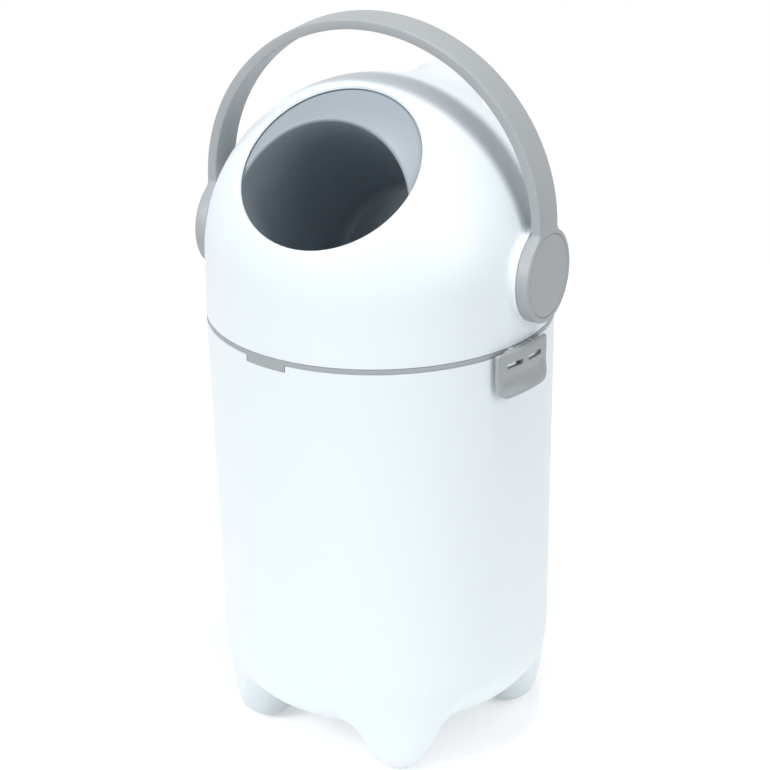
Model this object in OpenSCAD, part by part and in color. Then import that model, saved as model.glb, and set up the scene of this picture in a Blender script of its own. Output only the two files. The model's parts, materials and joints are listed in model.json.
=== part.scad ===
// Nappy bin: a footed bucket, a domed top with a turning drum, and a carrying handle.
// Origin on the floor under the middle of the bucket, +Z up. The drum's pivot runs
// along X and the dome's mouth looks towards -Y.

/* [Bucket] */
// Outer radius at the rim
rim_r = 135; // [125:1:150]
// Height of the bucket's rim above the floor
bucket_h = 349; // [312:1:412]
// How much smaller the bucket's radius is where its bottom rounding starts
bucket_draft = 5; // [2:0.5:9]
// Wall thickness of the bucket
bucket_wall = 2.6; // [2:0.1:3.6]
// Radius of the rounding around the bottom
corner_r = 48; // [30:1:52]
// Angle from the dome's front to the bucket's front
bucket_turn = 11; // [0:1:20]
// Thickness of the rim below the clamp ring
rim_wall = 5.7; // [4:0.1:7]
// Height of that thick rim
rim_h = 11; // [10:0.5:18]
// Thickness of the rim's inward flange
rim_flange_h = 4; // [3:0.5:6]

/* [Feet] */
// Clearance under the bucket's bottom
foot_clear = 35; // [28:1:50]
// Distance of each foot from the middle
foot_circle_r = 98; // [90:1:98]
// Radius of a foot's cone at the floor
foot_r = 16; // [14:0.5:20]
// Growth of a foot's radius with height
foot_flare = 0.5; // [0.3:0.05:0.6]
// Rounding around the sole
foot_edge_r = 14; // [8:1:16]
// How much the feet's outer side leans in at the floor
foot_lean = 10.5; // [6:0.5:14]

/* [Clamp ring] */
// Thickness of the ring between bucket and dome
ring_h = 4; // [3.5:0.5:7]
// Depth of the spigot inside the bucket's rim
spigot_h = 11; // [8:0.5:16]
// Wall thickness of the spigot
spigot_wall = 2.2; // [1.8:0.1:3]
// Width of the locating tab at the front
tab_w = 37; // [20:1:60]
// How far the tab hangs below the ring
tab_h = 5.2; // [4:0.2:9]
// Thickness of the tab
tab_t = 2.5; // [2:0.1:3.5]
// Size of the two soft seals' square section
seal_s = 2.4; // [1.8:0.1:2.6]

/* [Dome] */
// Height of the pivot above the ring
pivot_rise = 47; // [44:0.5:56]
// How much smaller the dome is than the rim
dome_draft = 0.6; // [0.5:0.1:2]
// Wall thickness of the dome
dome_wall = 3; // [2.6:0.1:3.4]
// Radius of the round opening
opening_r = 72.8; // [55:0.2:76]
// Elevation of the opening's axis
opening_tilt = 50; // [42:1:58]
// Radius of the flat collar around each pivot
collar_r = 37; // [32:0.5:42]
// Radius of the rounded hump at the dome's back
hump_r = 24; // [16:1:30]
// Height of the hump's ball above the pivot
hump_h = 98; // [70:1:100]

/* [Drum] */
// Play between dome and drum
drum_gap = 1.1; // [0.9:0.1:2]
// Wall thickness of the drum and its cup
drum_wall = 2.6; // [2:0.1:3.2]
// Radius of the cup's mouth
mouth_r = 73; // [50:0.5:76]
// Elevation of the mouth's axis with the handle upright
mouth_tilt = 30; // [22:1:40]
// Rounding of the mouth's lip
lip_r = 2.5; // [1.5:0.1:2.6]
// Depth from the pivot to the cup's floor
cup_floor = 52; // [20:1:70]
// Draft angle of the cup
cup_draft = 4.4; // [1:0.2:6]
// Rounding around the cup's floor
cup_corner_r = 8; // [4:0.5:14]

/* [Pivots] */
// Radius of the trunnions
trunnion_r = 18; // [12:0.5:20]
// Width of the square drive at each end of a trunnion
drive_w = 24; // [12:0.5:24]
// Wall thickness of the bushes
bush_wall = 2.5; // [1.5:0.1:3]

/* [Handle] */
// Width of the handle's band
band_w = 29.4; // [20:0.2:36]
// Thickness of the band
band_t = 8; // [5:0.2:8]
// Length of the straight arm above the pivot
arm_h = 38; // [30:1:60]
// Radius of the hub discs
hub_r = 36.3; // [34:0.1:41]
// Thickness of the hub discs
hub_t = 10; // [9.6:0.2:14]
// Rounding between arm and hub disc
hub_fillet = 8; // [4:0.5:12]
// Width of the rim around each hub cap
cap_rim = 4.4; // [1.6:0.1:6]
// Thickness of the hub caps
cap_t = 2.8; // [2:0.1:3]

/* [Latch flaps] */
// Width of a flap
flap_w = 59; // [52:1:70]
// Height of a flap below its hinge
flap_h = 34.5; // [33:0.5:40]
// How far the hinge stands out from the rim
hinge_out = 2.6; // [2.6:0.1:4]
// Radius of the hinge knuckles
knuckle_r = 2.2; // [1.8:0.1:2.2]
// Radius of the hinge pins
pin_r = 0.9; // [0.7:0.1:1.1]
// Length of a slot in the flap
slot_w = 17; // [14:0.5:18]
// Height of a slot in the flap
slot_h = 3.6; // [3:0.1:4.5]
// Distance from the flap's middle to a slot's middle
slot_x = 12; // [11:0.5:13]
// Length of a catch lug on the bucket
lug_w = 10.5; // [6:0.5:12]

/* [Screws] */
// Shank radius of the dome screws
dome_screw_r = 1.4; // [1:0.1:1.5]
// Head radius of the dome screws
dome_head_r = 2.5; // [2:0.1:2.5]
// Number of dome screws
dome_screws_n = 6; // [6:6:6]
// Shank radius of the drum screws
drum_screw_r = 1.6; // [1.2:0.1:2]
// Head radius of the drum screws
drum_head_r = 3.2; // [2.6:0.1:3.6]
// Shank radius of the hub screws
hub_screw_r = 2; // [1.5:0.1:2.6]
// Head radius of the hub screws
hub_head_r = 4.6; // [3.5:0.1:5.5]

/* [Hidden] */
$fn = 96;

// Clearances between neighbouring pieces
seat_gap = 0.3;
running_gap = 0.05;
seal_gap = 0.3;

white = "#f2f5f6";
grey = "#a9afb3";
pale = "#d5d8da";
steel = "#8f9499";
rubber = "#4a4d50";

// Bucket
base_r = rim_r - bucket_draft;
side_z = foot_clear + corner_r;
rim_in = rim_r - rim_wall;
foot_inset = 0.5;

// Clamp ring, drum and dome share the pivot's height and the sphere radii
ring_z = bucket_h + seat_gap;
ring_top = ring_z + ring_h;
pivot_z = ring_top + pivot_rise;
dome_r = rim_r - dome_draft;
dome_in = dome_r - dome_wall;
drum_r = dome_in - drum_gap;
function drum_r_at(z) = sqrt(pow(drum_r, 2) - pow(pivot_z - z, 2));

spigot_out = drum_r_at(ring_top) + 4.4;
spigot_in = spigot_out - spigot_wall;
flange_in = spigot_out + 0.6;
stalk_z = 8;
stalk_step = 3;
screw_circle_r = dome_in - 2.8;
boss_r = 3;
boss_h = 8;
dome_screw_l = 8;
head_h = 1.9;

// Side stations outward along the pivot axis
collar_x = rim_r - 0.3;
hub_x = collar_x + seat_gap;
hub_out = hub_x + hub_t;
socket_x = hub_x + 4;
cap_x = hub_out - cap_t;
hub_screw_l = 12;
pad_x = drum_r - 10;
pad_r = trunnion_r + 10;
bush_r = trunnion_r + running_gap + bush_wall;
bush_flange_r = bush_r + 2.5;
bush_flange_t = 1.2;
plate_w = drive_w + 10;
plate_t = 3;
cap_r = hub_r - cap_rim;

// Drum, measured along the mouth's axis from the pivot
lip_turn = asin((mouth_r + lip_r) / (drum_r - lip_r));
lip_c = [mouth_r + lip_r, sqrt(pow(drum_r - lip_r, 2) - pow(mouth_r + lip_r, 2))];
cup_top = lip_c + lip_r * [-cos(cup_draft), sin(cup_draft)];
cup_corner = [
    cup_top[0] - tan(cup_draft) * (cup_top[1] + cup_floor - cup_corner_r) - cup_corner_r / cos(cup_draft),
    -cup_floor + cup_corner_r
];
drum_in = drum_r - drum_wall;
post = [88, 74];
post_r = 5.5;
post_bore_l = 16;
head_depth = 22;
drum_head_h = 2.4;

// Latch flaps
hinge_r = rim_r + hinge_out;
hinge_z = ring_z + ring_h / 2 - 0.3;
barrel_l = 40;
ear_y = 11.5;
ear_w = 5;
flap_in = hinge_r + 0.6;
flap_out = hinge_r + 4.2;
flap_bottom = hinge_z - flap_h;
slot_z = hinge_z - 9.4;
lug_r = flap_in + 1.6;
lug_h = slot_h - 0.9;
flap_half = asin(flap_w / 2 / flap_out);

// Points along an arc of radius r about c, from angle a0 to a1
function arc(c, r, a0, a1, n = 8) =
    [for (i = [0:n]) c + r * [cos(a0 + (a1 - a0) * i / n), sin(a0 + (a1 - a0) * i / n)]];

// Turns a child about the upright axis, to the bucket's own front
module turned() { rotate([0, 0, -bucket_turn]) children(); }

// Places a child on the pivot, with its +Z along a direction raised by tilt towards the front
module aimed(tilt) { translate([0, 0, pivot_z]) rotate([90 - tilt, 0, 0]) children(); }

// Cylinder along X on the pivot axis, from x0 to x1, on side s
module pivot_rod(r, x0, x1, s = 1) {
    translate([s > 0 ? x0 : -x1, 0, pivot_z]) rotate([0, 90, 0]) cylinder(h = x1 - x0, r = r);
}

// Square bar along X on the pivot axis
module pivot_bar(w, x0, x1, s = 1) {
    translate([s > 0 ? x0 : -x1, -w / 2, pivot_z - w / 2]) cube([x1 - x0, w, w]);
}

// Ring about the upright axis with a square section
module band_ring(r0, r1, z0, z1) {
    rotate_extrude() translate([r0, z0]) square([r1 - r0, z1 - z0]);
}

// Body of the bucket, shrunk by t on every side
module bucket_form(t) {
    c = [base_r - corner_r, side_z];
    rotate_extrude() {
        polygon(concat(
            [[0, foot_clear + t]],
            arc(c, corner_r - t, -90, 0, 12),
            [[rim_r - t, bucket_h + t], [0, bucket_h + t]]
        ));
    }
    for (a = [45:90:315]) rotate([0, 0, a]) foot_form(t);
}

// One foot, shrunk by t: a cone with a round sole, trimmed to the bucket's leaning side
module foot_form(t) {
    slant = sqrt(1 + foot_flare * foot_flare);
    sole_r = foot_r + foot_edge_r * (foot_flare - slant);
    intersection() {
        translate([foot_circle_r, 0, 0]) rotate_extrude() polygon(concat(
            [[0, t]],
            arc([sole_r, foot_edge_r], foot_edge_r - t, -90, -atan(foot_flare), 6),
            [[foot_r + foot_flare * side_z - t * slant, side_z], [0, side_z]]
        ));
        cylinder(h = side_z, r1 = base_r - foot_lean - t, r2 = base_r - foot_inset - t);
    }
}

// Room or material for the locating tab, grown by g
module tab_form(g) {
    a = asin((tab_w / 2 + g) / rim_r);
    rotate([0, 0, -90 - a]) rotate_extrude(angle = 2 * a)
        translate([rim_r - tab_t - g, ring_z - tab_h - g]) square([tab_t + 2 * g, tab_h + 2 * g]);
}

// The two catch lugs beside one flap, curved like the rim
module lugs() {
    root_r = rim_r - rim_wall / 2;
    for (y = [-slot_x, slot_x]) {
        from = asin((y - slot_w / 2 + 0.4) / lug_r);
        to = asin((y - slot_w / 2 + 0.4 + lug_w) / lug_r);
        rotate([0, 0, from]) rotate_extrude(angle = to - from)
            translate([root_r, slot_z - slot_h / 2 + 0.5]) square([lug_r - root_r, lug_h]);
    }
}

module bucket() {
    color(white) turned() {
        difference() {
            union() {
                bucket_form(0);
                lugs();
                mirror([1, 0, 0]) lugs();
            }
            difference() {
                bucket_form(bucket_wall);
                band_ring(rim_in, rim_r + 1, bucket_h - rim_h, bucket_h + 1);
                band_ring(flange_in, rim_r + 1, bucket_h - rim_flange_h, bucket_h + 1);
            }
            translate([0, 0, bucket_h]) cylinder(h = 10, r = rim_r + 1);
            tab_form(seat_gap);
        }
    }
}

module rim_seal() {
    z0 = bucket_h - rim_flange_h / 2 - seal_s / 2;
    color(rubber) band_ring(spigot_out - 1.2, flange_in - seal_gap, z0, z0 + seal_s);
}

// Ears that carry one flap's pin
module ears() {
    for (y = [-ear_y, ear_y]) {
        difference() {
            union() {
                translate([hinge_r, y + ear_w / 2, hinge_z]) rotate([90, 0, 0])
                    cylinder(h = ear_w, r = knuckle_r);
                translate([rim_r - 3, y - ear_w / 2, hinge_z - knuckle_r + 0.6])
                    cube([hinge_out + 3, ear_w, 2 * knuckle_r - 0.6]);
            }
            translate([hinge_r, y + ear_w, hinge_z]) rotate([90, 0, 0])
                cylinder(h = 2 * ear_w, r = pin_r);
        }
    }
}

// Places a child at each dome screw
module at_dome_screws() {
    for (i = [0:dome_screws_n - 1]) rotate([0, 0, -90 + i * 360 / dome_screws_n])
        translate([screw_circle_r, 0, 0]) children();
}

module clamp_ring() {
    z_seal = bucket_h - rim_flange_h / 2 - seal_s / 2;
    color(grey) turned() difference() {
        union() {
            band_ring(spigot_in, rim_r, ring_z, ring_top);
            band_ring(spigot_in, spigot_out, ring_z - spigot_h, ring_z);
            tab_form(0);
            ears();
            mirror([1, 0, 0]) ears();
        }
        band_ring(spigot_out - 1.2, spigot_out + 1, z_seal, z_seal + seal_s);
        band_ring(spigot_in - 1, spigot_in + 1.2, ring_z + ring_h / 2 - seal_s / 2,
            ring_z + ring_h / 2 + seal_s / 2);
        at_dome_screws() {
            translate([0, 0, ring_z - 1]) cylinder(h = head_h + 1.3, r = dome_head_r + 0.1);
            translate([0, 0, ring_z]) cylinder(h = ring_h + 1, r = dome_screw_r);
        }
    }
}

module rotor_seal() {
    z0 = ring_z + ring_h / 2 - seal_s / 2;
    z1 = z0 + seal_s;
    color(rubber) rotate_extrude() polygon([
        [drum_r_at(z0) + seal_gap, z0], [spigot_in + 1.2, z0],
        [spigot_in + 1.2, z1], [drum_r_at(z1) + seal_gap, z1]
    ]);
}

// Hump behind the dome's crown, shrunk by t: a ball on an upright stalk
module hump(t) {
    translate([0, dome_r - hump_r - 0.6, pivot_z]) {
        translate([0, 0, stalk_z]) cylinder(h = hump_h - stalk_z, r = hump_r - stalk_step - t);
        translate([0, 0, hump_h]) sphere(hump_r - t);
    }
}

module dome() {
    color(white) difference() {
        union() {
            translate([0, 0, ring_top + seat_gap])
                cylinder(h = pivot_rise - seat_gap, r1 = rim_r, r2 = dome_r);
            intersection() {
                translate([0, 0, pivot_z]) sphere(dome_r);
                translate([-rim_r, -rim_r, pivot_z]) cube(2 * rim_r);
            }
            for (s = [-1, 1]) pivot_rod(collar_r, dome_in - 12, collar_x, s);
            hump(0);
        }
        hump(dome_wall);
        translate([0, 0, pivot_z]) sphere(dome_in);
        translate([0, 0, ring_top - 1]) cylinder(h = pivot_rise + 1, r = dome_in);
        aimed(opening_tilt) cylinder(h = 2 * dome_r, r = opening_r);
        for (s = [-1, 1]) {
            pivot_rod(bush_r, dome_in - 14, collar_x + 1, s);
            pivot_rod(bush_flange_r, collar_x - bush_flange_t, collar_x + 1, s);
        }
    }
    color(white) turned() at_dome_screws() difference() {
        translate([0, 0, ring_top]) cylinder(h = boss_h, r = boss_r);
        translate([0, 0, ring_top - 1]) cylinder(h = boss_h, r = dome_screw_r);
    }
}

module opening_seal() {
    a0 = asin(opening_r / dome_in) + 0.3;
    a1 = a0 + 4;
    color(rubber) aimed(opening_tilt) rotate_extrude() intersection() {
        difference() {
            circle(dome_in - seat_gap);
            circle(drum_r + seal_gap);
        }
        polygon([[0, 0], 2 * dome_r * [sin(a0), cos(a0)], 2 * dome_r * [sin(a1), cos(a1)]]);
    }
}

module dome_screws() {
    color(steel) turned() at_dome_screws() {
        translate([0, 0, ring_z + 0.3]) cylinder(h = head_h, r = dome_head_r);
        translate([0, 0, ring_z + 0.3]) cylinder(h = dome_screw_l + head_h, r = dome_screw_r);
    }
}

// Flanged bush in the dome's collar
module bush(s) {
    color(pale) difference() {
        union() {
            pivot_rod(bush_r, drum_r - 0.2, collar_x, s);
            pivot_rod(bush_flange_r, collar_x - bush_flange_t, collar_x, s);
        }
        pivot_rod(trunnion_r + running_gap, drum_r - 2, collar_x + 1, s);
    }
}

// The drum's inner fittings: pads around the trunnions and screw posts, cut by the ball they stand in
module drum_fittings() {
    for (s = [-1, 1]) rotate([0, 90, 0]) translate([0, 0, s > 0 ? pad_x - plate_t : -drum_r])
        cylinder(h = drum_r - pad_x + plate_t, r = pad_r);
    at_posts() translate([0, 0, -drum_r]) cylinder(h = 2 * drum_r, r = post_r);
}

// Places a child at each of the four screw posts
module at_posts() {
    for (x = [-post[0], post[0]], y = [-post[1], post[1]]) translate([x, y, 0]) children();
}

// Bores for both journals and square seats for their plates
module trunnion_room() {
    for (s = [-1, 1]) {
        rotate([0, 90, 0]) translate([0, 0, s > 0 ? pad_x - plate_t : -drum_r - 1])
            cylinder(h = drum_r - pad_x + plate_t + 1, r = trunnion_r);
        trunnion_plate(s);
    }
}

// Square plate that locks a trunnion to the drum, in the drum's own frame
module trunnion_plate(s) {
    translate([s > 0 ? pad_x - plate_t : -pad_x, -plate_w / 2, -plate_w / 2])
        cube([plate_t, plate_w, plate_w]);
}

// Outside of the cup, from its floor up to the lip
module cup_form() {
    lean = tan(cup_draft) * (cup_top[1] + cup_floor - cup_corner_r);
    rotate_extrude() polygon(concat(
        [[0, -cup_floor - drum_wall]],
        arc(cup_corner, cup_corner_r + drum_wall, -90, -cup_draft),
        [[cup_corner[0] + cup_corner_r + drum_wall + lean, cup_top[1]], [0, cup_top[1]]]
    ));
}

// Room inside the cup, opening out over the rounded lip
module cup_room() {
    rotate_extrude() polygon(concat(
        [[0, -cup_floor]],
        arc(cup_corner, cup_corner_r, -90, -cup_draft),
        arc(lip_c, lip_r, 180 - cup_draft, 90 - lip_turn),
        [(drum_r + 4) * [sin(lip_turn), cos(lip_turn)], [mouth_r, 2 * drum_r], [0, 2 * drum_r]]
    ));
}

module rotor_shell() {
    color(grey) aimed(mouth_tilt) difference() {
        sphere(drum_r);
        difference() {
            sphere(drum_in);
            drum_fittings();
            cup_form();
        }
        difference() {
            translate([-drum_r, -drum_r, -2 * drum_r]) cube(2 * drum_r);
            cup_form();
        }
        cup_room();
        trunnion_room();
        at_posts() translate([0, 0, -1]) cylinder(h = post_bore_l + 1, r = drum_screw_r);
    }
}

module rotor_back() {
    color(grey) aimed(mouth_tilt) difference() {
        sphere(drum_r);
        difference() {
            sphere(drum_in);
            drum_fittings();
        }
        translate([-drum_r, -drum_r, 0]) cube(2 * drum_r);
        trunnion_room();
        at_posts() translate([0, 0, -drum_r]) {
            cylinder(h = drum_r + 1, r = drum_screw_r);
            cylinder(h = drum_r - head_depth, r = drum_head_r + 0.2);
        }
    }
}

module rotor_screws() {
    color(steel) aimed(mouth_tilt) at_posts() translate([0, 0, -head_depth - drum_head_h]) {
        cylinder(h = drum_head_h, r = drum_head_r);
        cylinder(h = drum_head_h + head_depth + post_bore_l - 2, r = drum_screw_r);
    }
}

// Stub axle: a plate inside the drum, a round journal and a square drive in the handle's hub
module trunnion(s) {
    color(pale) difference() {
        union() {
            aimed(mouth_tilt) trunnion_plate(s);
            pivot_rod(trunnion_r, pad_x - plate_t, hub_x, s);
            pivot_bar(drive_w, hub_x - 1, socket_x, s);
        }
        pivot_rod(hub_screw_r, socket_x - hub_screw_l - 2, socket_x + 1, s);
    }
}

// Outline of one hub and its arm, seen along X, from the pivot up
module hub_outline() {
    y = band_w / 2 + hub_fillet;
    z = sqrt(pow(hub_r + hub_fillet, 2) - y * y);
    circle(hub_r);
    translate([-band_w / 2, 0]) square([band_w, arm_h + 1]);
    for (s = [-1, 1]) difference() {
        polygon([[0, 0], [s * band_w / 2, z], [s * y * hub_r / (hub_r + hub_fillet),
            z * hub_r / (hub_r + hub_fillet)]]);
        translate([s * y, z]) circle(hub_fillet);
    }
}

module handle() {
    arch_r = hub_out;
    color(grey) difference() {
        union() {
            translate([0, 0, pivot_z + arm_h]) rotate([90, 0, 0]) difference() {
                cylinder(h = band_w, r = arch_r, center = true);
                cylinder(h = band_w + 1, r = arch_r - band_t, center = true);
                translate([-arch_r - 1, -arch_r - 1, -band_w]) cube([2 * arch_r + 2, arch_r + 1, 2 * band_w]);
            }
            for (s = [-1, 1]) {
                pivot_rod(hub_r, hub_x, hub_out, s);
                translate([s > 0 ? hub_out - band_t : -hub_out, 0, pivot_z])
                    rotate([90, 0, 90]) linear_extrude(band_t) intersection() {
                        hub_outline();
                        translate([-hub_r, -hub_r]) square([2 * hub_r, hub_r + arm_h]);
                    }
            }
        }
        for (s = [-1, 1]) {
            pivot_bar(drive_w, hub_x - 1, socket_x, s);
            pivot_rod(cap_r + 0.15, cap_x - 0.1, hub_out + 1, s);
            pivot_rod(hub_head_r + 0.2, cap_x - 2.2, cap_x, s);
            pivot_rod(hub_screw_r + 0.1, socket_x - 1, cap_x, s);
        }
    }
}

module hub_screw(s) {
    color(steel) {
        pivot_rod(hub_head_r, cap_x - 2.2, cap_x - 0.3, s);
        pivot_rod(hub_screw_r, socket_x - hub_screw_l, cap_x - 0.3, s);
    }
}

module hub_cap(s) {
    color(grey) pivot_rod(cap_r, cap_x - 0.1, hub_out, s);
}

// Side section of a flap, as radius and height, before the hinge is cut in
function flap_section() = [
    [flap_out - 0.3, hinge_z + 1.6], [flap_out, hinge_z], [flap_out, hinge_z - 0.2 * flap_h],
    [flap_out - 0.6, hinge_z - 0.38 * flap_h], [flap_out - 0.5, hinge_z - 0.58 * flap_h],
    [flap_out + 0.5, hinge_z - 0.78 * flap_h],
    [flap_out + 1.6, flap_bottom + 1.2], [flap_out + 1.3, flap_bottom],
    [flap_out - 0.7, flap_bottom + 0.3], [flap_out - 1.3, hinge_z - 0.855 * flap_h],
    [flap_in + 2.2, hinge_z - 0.78 * flap_h], [flap_in + 0.4, hinge_z - 0.55 * flap_h],
    [flap_in, hinge_z - 0.35 * flap_h], [flap_in, hinge_z - 3], [flap_in + 1.6, hinge_z]
];

module flap_plate() {
    corner = 0.2 * flap_h;
    h = flap_h + 4;
    near = flap_in * cos(flap_half) - 1;
    far = flap_out + hinge_out;
    difference() {
        intersection() {
            rotate([0, 0, -flap_half]) rotate_extrude(angle = 2 * flap_half) polygon(flap_section());
            translate([near, 0, 0]) rotate([90, 0, 90]) linear_extrude(far - near)
                translate([0, flap_bottom + h / 2]) union() {
                    square([flap_w - 2 * corner, h], center = true);
                    translate([-flap_w / 2, corner - h / 2]) square([flap_w, h - corner]);
                    for (s = [-1, 1]) translate([s * (flap_w / 2 - corner), corner - h / 2]) circle(corner);
                }
        }
        for (y = [-slot_x, slot_x]) translate([near, y - slot_w / 2, slot_z - slot_h / 2])
            cube([far - near, slot_w, slot_h]);
    }
}

module flap() {
    color(grey) difference() {
        union() {
            flap_plate();
            translate([hinge_r, barrel_l / 2, hinge_z]) rotate([90, 0, 0])
                cylinder(h = barrel_l, r = knuckle_r);
            translate([hinge_r, -barrel_l / 2, hinge_z - knuckle_r]) cube([3, barrel_l, knuckle_r]);
        }
        translate([hinge_r, barrel_l / 2 + 10, hinge_z]) rotate([90, 0, 0])
            cylinder(h = barrel_l + 20, r = pin_r + running_gap);
        for (y = [-ear_y, ear_y]) translate([hinge_r, y + ear_w / 2 + seat_gap, hinge_z])
            rotate([90, 0, 0]) cylinder(h = ear_w + 2 * seat_gap, r = knuckle_r + seat_gap);
    }
}

module flap_pin() {
    color(steel) translate([hinge_r, barrel_l / 2, hinge_z]) rotate([90, 0, 0])
        cylinder(h = barrel_l, r = pin_r);
}

bucket();
rim_seal();
clamp_ring();
rotor_seal();
dome();
opening_seal();
dome_screws();
bush(-1);  // bush_left
bush(1);  // bush_right
rotor_shell();
rotor_back();
rotor_screws();
trunnion(-1);  // trunnion_left
trunnion(1);  // trunnion_right
handle();
hub_screw(-1);  // hub_screw_left
hub_screw(1);  // hub_screw_right
hub_cap(-1);  // hub_cap_left
hub_cap(1);  // hub_cap_right
turned() mirror([1, 0, 0]) flap();  // flap_left
turned() flap();  // flap_right
turned() mirror([1, 0, 0]) flap_pin();  // flap_pin_left
turned() flap_pin();  // flap_pin_right
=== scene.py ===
import json
import math

import bmesh
import bpy
from mathutils import Matrix, Vector


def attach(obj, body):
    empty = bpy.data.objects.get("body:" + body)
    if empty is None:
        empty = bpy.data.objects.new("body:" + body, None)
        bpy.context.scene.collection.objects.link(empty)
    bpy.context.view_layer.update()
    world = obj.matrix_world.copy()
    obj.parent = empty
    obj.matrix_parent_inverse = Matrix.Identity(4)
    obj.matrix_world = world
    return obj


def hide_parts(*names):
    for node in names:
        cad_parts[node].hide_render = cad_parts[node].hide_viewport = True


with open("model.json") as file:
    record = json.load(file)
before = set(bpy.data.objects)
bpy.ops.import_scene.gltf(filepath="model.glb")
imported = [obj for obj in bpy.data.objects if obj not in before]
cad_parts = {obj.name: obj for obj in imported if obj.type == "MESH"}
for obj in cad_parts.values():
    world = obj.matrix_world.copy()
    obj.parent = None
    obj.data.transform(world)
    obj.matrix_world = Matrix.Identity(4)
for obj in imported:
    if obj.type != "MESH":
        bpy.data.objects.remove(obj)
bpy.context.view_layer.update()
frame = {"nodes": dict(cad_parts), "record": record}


# ---- Bucket ------------------------------------------------------------------------------
# Injection-moulded white plastic, drafted to leave its mould. Four hollow feet are drawn out
# of the bottom's rounding, and a thick rim carries the clamp ring and the flaps' catch lugs.

MM = 0.001


def only(piece):
    """Selects one piece and makes it the active one."""
    if bpy.context.mode != "OBJECT":
        bpy.ops.object.mode_set(mode="OBJECT")
    bpy.ops.object.select_all(action="DESELECT")
    piece.select_set(True)
    bpy.context.view_layer.objects.active = piece


def arc(centre, radius, start, end, steps):
    """Points along an arc in the plane of a turned outline, angles in degrees."""
    turns = [math.radians(start + (end - start) * i / steps) for i in range(steps + 1)]
    return [(centre[0] + radius * math.cos(a), centre[1] + radius * math.sin(a)) for a in turns]


def drawn(name, outline, closed=True):
    """A wire outline in the XZ plane, from (radius, height) points in millimetres."""
    mesh = bpy.data.meshes.new(name)
    count = len(outline)
    edges = [(i, (i + 1) % count) for i in range(count if closed else count - 1)]
    mesh.from_pydata([(r * MM, 0, h * MM) for r, h in outline], edges, [])
    piece = bpy.data.objects.new(name, mesh)
    bpy.context.collection.objects.link(piece)
    return piece


def turned(name, outline, steps, closed=True, sweep=360):
    """Spins an outline about the upright axis into a closed skin."""
    piece = drawn(name, outline, closed)
    only(piece)
    bpy.ops.object.mode_set(mode="EDIT")
    bpy.ops.mesh.select_all(action="SELECT")
    bpy.ops.mesh.spin(steps=steps, angle=math.radians(sweep), center=(0, 0, 0), axis=(0, 0, 1))
    bpy.ops.mesh.select_all(action="SELECT")
    bpy.ops.mesh.remove_doubles(threshold=0.00001)
    bpy.ops.mesh.delete_loose(use_verts=True, use_edges=True, use_faces=False)
    bpy.ops.mesh.select_all(action="SELECT")
    bpy.ops.mesh.normals_make_consistent(inside=False)
    bpy.ops.object.mode_set(mode="OBJECT")
    return piece


def combine(piece, tools, operation):
    """Joins tool shapes to a piece, or cuts them out of it, and removes the tools."""
    for tool in tools:
        only(piece)
        change = piece.modifiers.new(operation.lower(), "BOOLEAN")
        change.operation = operation
        change.solver = "MANIFOLD"
        change.object = tool
        bpy.ops.object.modifier_apply(modifier=change.name)
        bpy.data.objects.remove(tool, do_unlink=True)


def block(low, high, corner=0.0):
    """A box from its low to its high corner in millimetres, with its edges rounded if asked."""
    middle = [(a + b) / 2 * MM for a, b in zip(low, high)]
    bpy.ops.object.select_all(action="DESELECT")
    bpy.ops.mesh.primitive_cube_add(size=1, location=(0, 0, 0))
    piece = bpy.context.active_object
    piece.data.transform(Matrix.Diagonal([(b - a) * MM for a, b in zip(low, high)] + [1]))
    piece.data.transform(Matrix.Translation(middle))
    if corner:
        bpy.ops.object.mode_set(mode="EDIT")
        bpy.ops.mesh.select_all(action="SELECT")
        bpy.ops.mesh.bevel(offset=corner * MM, segments=3, affect="EDGES")
        bpy.ops.object.mode_set(mode="OBJECT")
    return piece


def fitted(piece, node, body, material, crease=30):
    """Finishes a piece: its material, smooth faces, and the CAD node it stands for."""
    piece.name = piece.data.name = node
    piece.data.materials.clear()
    piece.data.materials.append(material)
    only(piece)
    bpy.ops.object.shade_smooth_by_angle(angle=math.radians(crease))
    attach(piece, body)
    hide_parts(node)


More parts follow.
